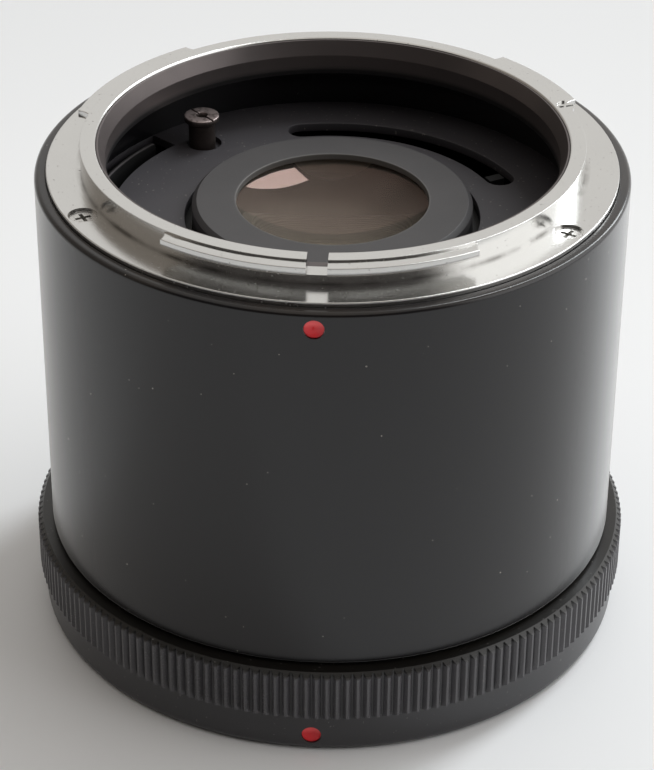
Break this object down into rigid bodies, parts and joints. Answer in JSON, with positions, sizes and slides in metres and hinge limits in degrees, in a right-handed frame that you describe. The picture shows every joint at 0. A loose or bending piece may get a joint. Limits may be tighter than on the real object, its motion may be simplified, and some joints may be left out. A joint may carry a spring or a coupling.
{
  "type": "camera teleconverter",
  "caption": "Black cylindrical camera teleconverter with a chromed bayonet flange at the front, recessed lens, aperture levers and a knurled breech-lock ring at the rear.",
  "frame": {"origin": "on the optical axis, at the breech ring's rear face, which the part stands on", "axes": "+Z along the optical axis towards the lens side, -Y through the index marks"},
  "size_m": [0.0664, 0.0664, 0.0562],
  "materials": {
    "black_anodised": "satin black anodised",
    "chrome": "turned and satin chromed",
    "screw_steel": "bright plated",
    "lever_steel": "satin",
    "spring_steel": "drawn wire",
    "blackened_steel": "chemically blackened",
    "dark_brass": "darkened, worn bright on top",
    "brass": "plain",
    "charcoal_paint": "matte charcoal",
    "black_flock": "dead matte black",
    "red_paint": "gloss",
    "coated_glass": "polished, amber coated"
  },
  "bodies": {
    "housing": {"barrel": "black_anodised", "front_index_dot": "red_paint", "front_mount": "chrome", "front_mount_screws": "screw_steel", "bayonet_stop_screw": "screw_steel", "throat_liner": "black_flock", "front_baffle": "charcoal_paint", "full_aperture_post": "dark_brass", "baffle_retaining_ring": "black_anodised", "lens_tube": "black_anodised", "lens_tube_screws": "screw_steel", "lens_cap_ring": "charcoal_paint", "front_element": "coated_glass", "second_element": "coated_glass", "third_element": "coated_glass", "rear_element": "coated_glass", "front_spacer": "black_flock", "rear_spacer": "black_flock", "rear_lens_ring": "black_anodised", "rear_housing": "black_anodised", "rear_seat_ring": "chrome", "rear_seat_screws": "screw_steel", "rear_cover": "charcoal_paint", "rear_cover_screws": "screw_steel", "positioning_pin": "lever_steel", "full_aperture_pin": "lever_steel", "breech_stop_pin": "lever_steel", "breech_washer": "brass", "ring_spacer": "lever_steel", "ring_clip": "spring_steel", "drive_spring": "spring_steel", "signal_spring": "spring_steel", "spring_anchor_pins": "lever_steel"},
    "breech_ring": {"breech_grip_ring": "black_anodised", "breech_index_dot": "red_paint", "breech_bayonet_ring": "lever_steel", "breech_ring_screws": "screw_steel"},
    "aperture_drive": {"drive_ring": "blackened_steel", "drive_lever": "lever_steel", "drive_screw": "screw_steel"},
    "aperture_signal": {"signal_ring": "blackened_steel", "signal_follower": "blackened_steel", "signal_lever": "lever_steel"}
  },
  "joints": [
    {"name": "breech_turn", "type": "hinge", "parent": "housing", "child": "breech_ring", "pos_m": [0, 0, 0.005], "axis": [0, 0, 1], "range_deg": [-55, 0]},
    {"name": "drive_turn", "type": "hinge", "parent": "housing", "child": "aperture_drive", "pos_m": [0, 0, 0.045], "axis": [0, 0, 1], "range_deg": [0, 25], "stiffness_Nm_per_rad": 0.03, "springref_deg": -11.46},
    {"name": "signal_turn", "type": "hinge", "parent": "housing", "child": "aperture_signal", "pos_m": [0, 0, 0.042], "axis": [0, 0, 1], "range_deg": [0, 55], "stiffness_Nm_per_rad": 0.02, "springref_deg": -11.46}
  ]
}
